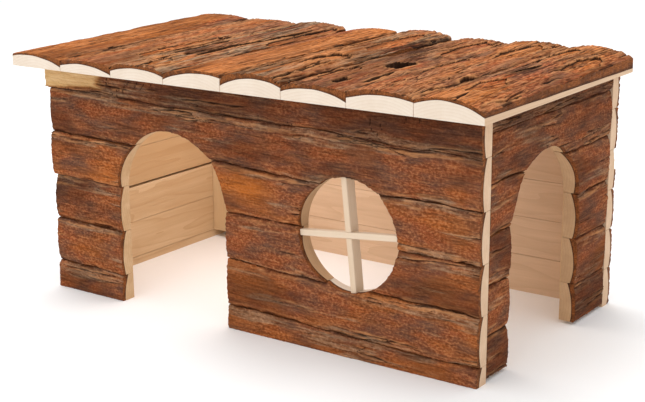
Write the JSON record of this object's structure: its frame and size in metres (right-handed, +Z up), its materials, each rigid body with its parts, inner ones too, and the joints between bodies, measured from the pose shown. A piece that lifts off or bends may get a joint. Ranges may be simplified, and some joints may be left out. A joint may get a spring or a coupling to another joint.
{
  "type": "rabbit house",
  "caption": "Free-standing rabbit shelter of half-round bark slabs on corner posts, with a flat slab roof, arched doors in the front and side walls and a round window with a wooden cross.",
  "frame": {"origin": "on the floor under the middle of the roof", "axes": "+X to the right along the front wall, +Y from the front wall to the back wall, +Z up"},
  "size_m": [0.4996, 0.28, 0.24],
  "materials": {
    "bark_slab": "rough bark outside, sawn pale wood inside and at the ends",
    "pale_wood": "planed softwood, no finish",
    "nail_steel": "bright wire"
  },
  "bodies": {
    "root": {"roof_slab_1": "bark_slab", "roof_slab_2": "bark_slab", "roof_slab_3": "bark_slab", "roof_slab_4": "bark_slab", "roof_slab_5": "bark_slab", "roof_slab_6": "bark_slab", "roof_slab_7": "bark_slab", "roof_slab_8": "bark_slab", "front_slab_1_left": "bark_slab", "front_slab_1_right": "bark_slab", "front_slab_2_left": "bark_slab", "front_slab_2_right": "bark_slab", "front_slab_3_left": "bark_slab", "front_slab_3_middle": "bark_slab", "front_slab_3_right": "bark_slab", "front_slab_4_left": "bark_slab", "front_slab_4_middle": "bark_slab", "front_slab_4_right": "bark_slab", "front_slab_5": "bark_slab", "front_slab_6": "bark_slab", "right_slab_1_front": "bark_slab", "right_slab_1_rear": "bark_slab", "right_slab_2_front": "bark_slab", "right_slab_2_rear": "bark_slab", "right_slab_3_front": "bark_slab", "right_slab_3_rear": "bark_slab", "right_slab_4_front": "bark_slab", "right_slab_4_rear": "bark_slab", "right_slab_5": "bark_slab", "right_slab_6": "bark_slab", "left_slab_1": "bark_slab", "left_slab_2": "bark_slab", "left_slab_3": "bark_slab", "left_slab_4": "bark_slab", "left_slab_5": "bark_slab", "left_slab_6": "bark_slab", "left_slab_7": "bark_slab", "back_slab_1": "bark_slab", "back_slab_2": "bark_slab", "back_slab_3": "bark_slab", "back_slab_4": "bark_slab", "back_slab_5": "bark_slab", "back_slab_6": "bark_slab", "post_front_left": "pale_wood", "post_front_right": "pale_wood", "post_back_left": "pale_wood", "post_back_right": "pale_wood", "window_upright": "pale_wood", "window_level_bar": "pale_wood", "roof_nails": "nail_steel", "front_nails": "nail_steel", "back_nails": "nail_steel", "left_nails": "nail_steel", "right_nails": "nail_steel"}
  },
  "joints": []
}
